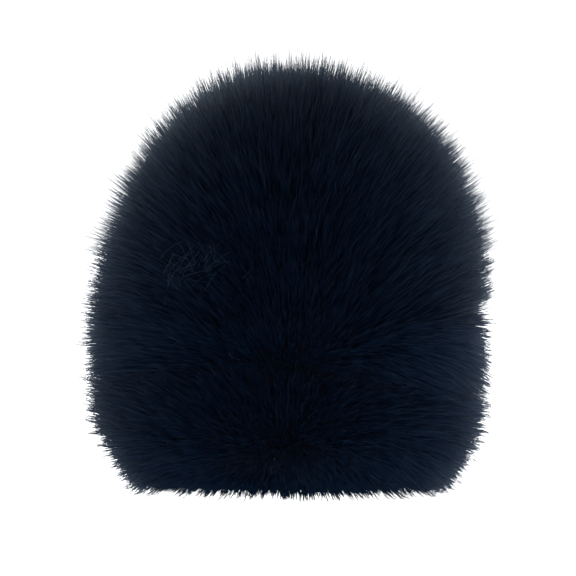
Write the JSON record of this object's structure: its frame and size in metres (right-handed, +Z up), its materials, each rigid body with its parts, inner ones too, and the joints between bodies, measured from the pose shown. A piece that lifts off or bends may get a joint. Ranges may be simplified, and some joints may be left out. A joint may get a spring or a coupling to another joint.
{
  "type": "furry windscreen",
  "caption": "Closed-topped long-pile fur bag over a foam wall and mesh lining, with a bound rim and a stretch cuff ending in an elastic mouth, for a handheld recorder's microphones.",
  "frame": {"origin": "on the floor under the middle of the cover", "axes": "+Z up the cover's height, -Y towards the front, +X to the right of someone facing the front"},
  "size_m": [0.1173, 0.0974, 0.125],
  "materials": {
    "fur": "long straight artificial pile, near black with a navy cast and slate tips",
    "foam": "open-cell foam, matte",
    "mesh_lining": "knitted mesh, matte",
    "webbing": "woven tape, slight sheen",
    "stretch_knit": "ribbed stretch knit, matte",
    "elastic": "braided elastic",
    "thread": "twisted polyester thread",
    "label_satin": "satin ribbon, blank"
  },
  "bodies": {
    "cover": {"fur_front_gore": "fur", "fur_right_gore": "fur", "fur_back_gore": "fur", "fur_left_gore": "fur", "foam_front_gore": "foam", "foam_right_gore": "foam", "foam_back_gore": "foam", "foam_left_gore": "foam", "lining_front": "mesh_lining", "lining_back": "mesh_lining", "seam_tape_front_right": "webbing", "seam_tape_back_right": "webbing", "seam_tape_back_left": "webbing", "seam_tape_front_left": "webbing", "crown_patch": "webbing", "rim_binding": "webbing", "cuff_front": "stretch_knit", "cuff_back": "stretch_knit", "rim_stitch": "thread", "bar_tack_left": "thread", "bar_tack_right": "thread", "care_label": "label_satin"},
    "mouth_front": {"mouth_tape_front": "webbing", "mouth_elastic_front": "elastic", "mouth_stitch_front": "thread"},
    "mouth_back": {"mouth_tape_back": "webbing", "mouth_elastic_back": "elastic", "mouth_stitch_back": "thread"}
  },
  "joints": [
    {"name": "mouth_front_stretch", "type": "slide", "parent": "cover", "child": "mouth_front", "axis": [0, -1, 0], "range_m": [0, 0.004], "stiffness_N_per_m": 300, "deforming": ["cuff_front"]},
    {"name": "mouth_back_stretch", "type": "slide", "parent": "cover", "child": "mouth_back", "axis": [0, 1, 0], "range_m": [0, 0.004], "stiffness_N_per_m": 300, "deforming": ["cuff_back"]}
  ],
  "couplings": [
    {"joint": "mouth_back_stretch", "follows": "mouth_front_stretch", "ratio": 1}
  ]
}
